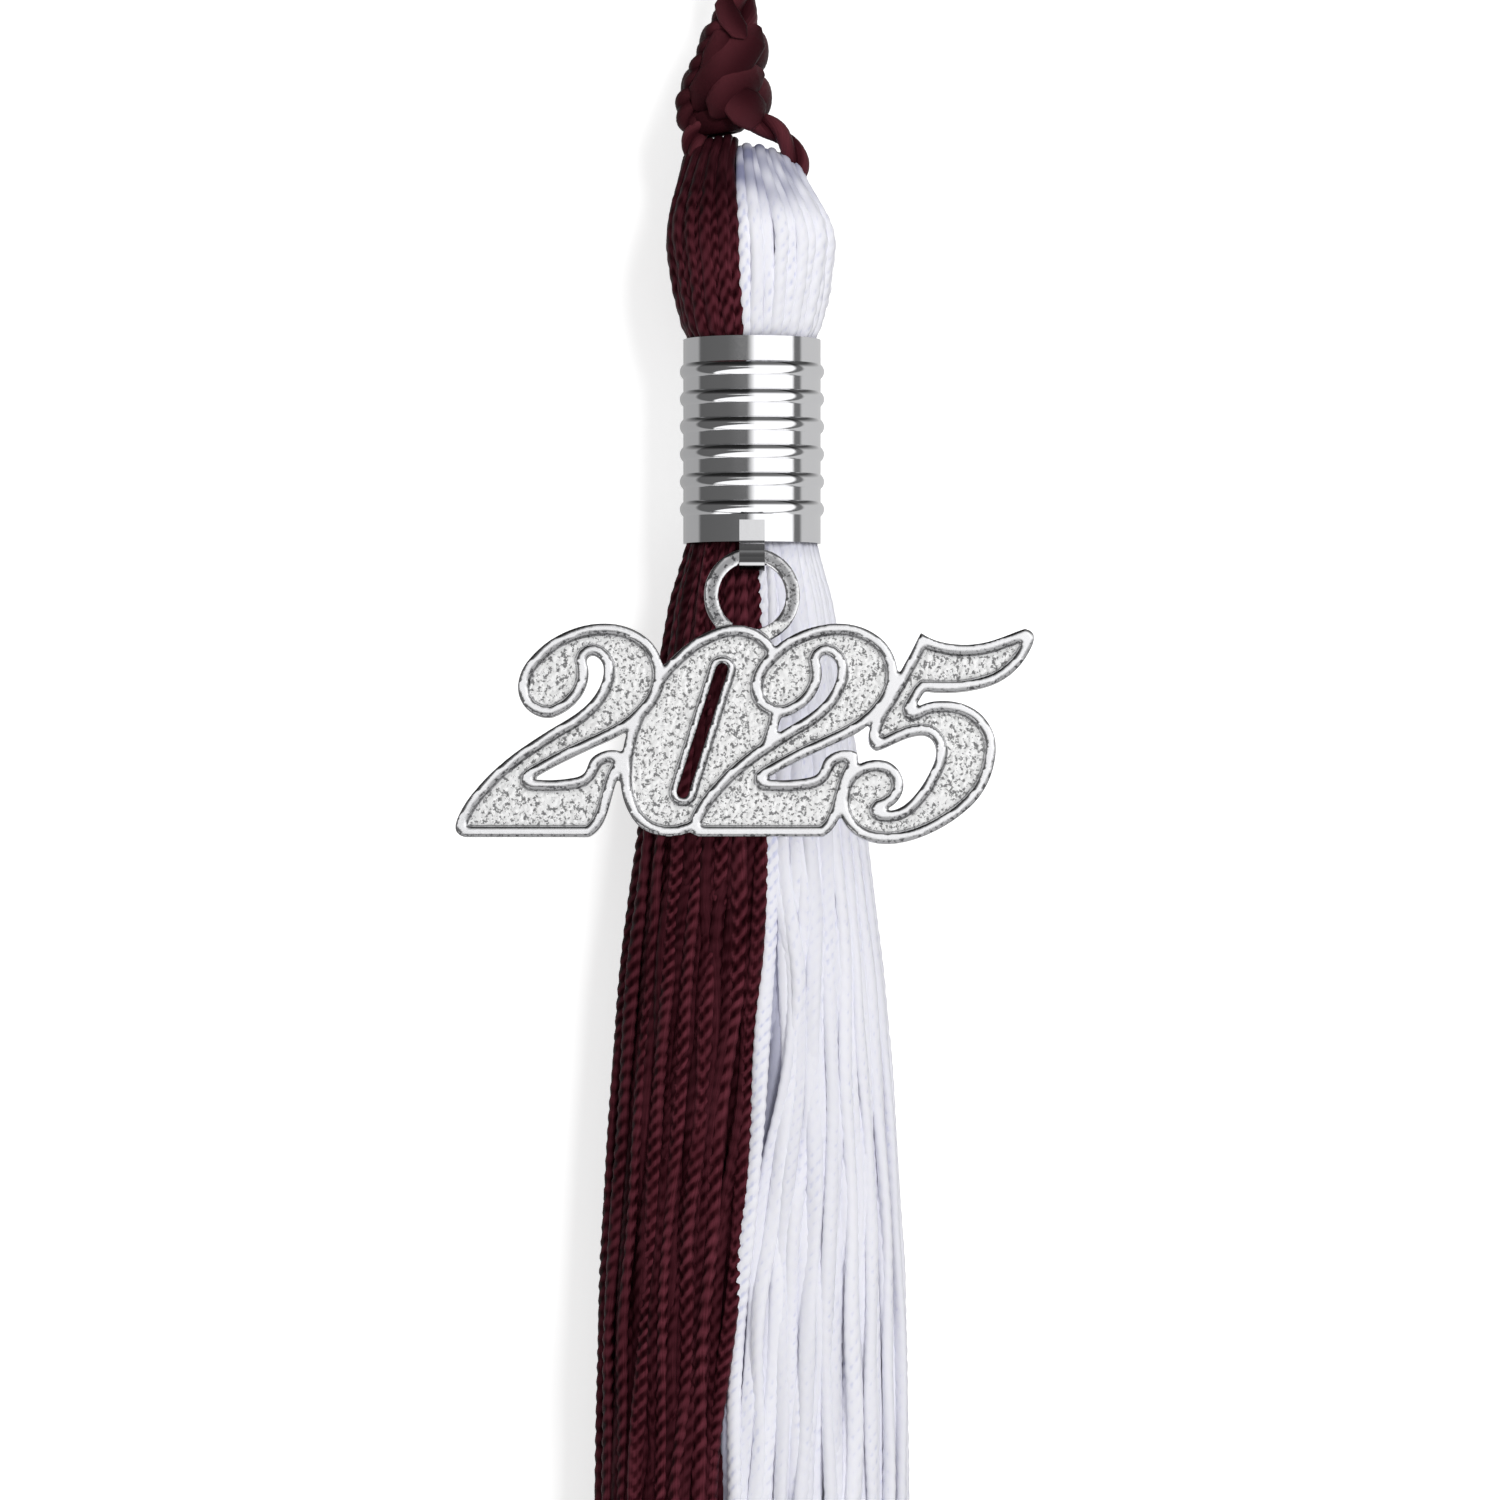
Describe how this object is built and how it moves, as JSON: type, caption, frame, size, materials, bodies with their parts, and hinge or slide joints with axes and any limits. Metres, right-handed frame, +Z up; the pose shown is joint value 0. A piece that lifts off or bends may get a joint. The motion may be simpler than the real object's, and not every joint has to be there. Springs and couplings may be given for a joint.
{
  "type": "graduation cap tassel",
  "caption": "Two-colour yarn graduation tassel on a knotted cord loop, with a ribbed metal neck band and a hanging cast numeral charm.",
  "frame": {"origin": "inside top of the hanging loop, where it rests on a cap button or a hook", "axes": "+Z up along the cord, +X to the right of a person facing the charm, the charm faces -Y"},
  "size_m": [0.0455, 0.0152, 0.3607],
  "materials": {
    "cord": "satin twisted floss",
    "maroon_yarn": "lustrous chainette",
    "white_yarn": "lustrous chainette",
    "binding_thread": "matte cotton",
    "band_metal": "polished nickel plate",
    "charm_metal": "polished rims, hammered floors"
  },
  "bodies": {
    "cord_top": {"cord_loop_top": "cord"},
    "cord_length": {"cord_middle": "cord"},
    "tassel": {"cord_knotted_end": "cord", "maroon_head_yarns": "maroon_yarn", "white_head_yarns": "white_yarn", "neck_binding": "binding_thread", "ribbed_band": "band_metal", "charm_strap": "band_metal"},
    "charm": {"year_charm": "charm_metal"},
    "tails": {"maroon_tails_front": "maroon_yarn", "maroon_tails_back": "maroon_yarn", "white_tails_front": "white_yarn", "white_tails_back": "white_yarn"}
  },
  "joints": [
    {"name": "cord_side_swing", "type": "hinge", "parent": "cord_top", "child": "cord_length", "pos_m": [0, 0, -0.03], "axis": [0, 1, 0], "range_deg": [-35, 35]},
    {"name": "cord_board_fold", "type": "hinge", "parent": "cord_length", "child": "tassel", "pos_m": [0, 0, -0.11], "axis": [1, 0, 0], "range_deg": [-90, 90]},
    {"name": "charm_swing", "type": "hinge", "parent": "tassel", "child": "charm", "pos_m": [0, -0.0053, -0.1631], "axis": [-1, 0, 0], "range_deg": [0, 110]},
    {"name": "skirt_sway", "type": "hinge", "parent": "tassel", "child": "tails", "pos_m": [0, 0, -0.163], "axis": [0, 1, 0], "range_deg": [-20, 20]}
  ]
}
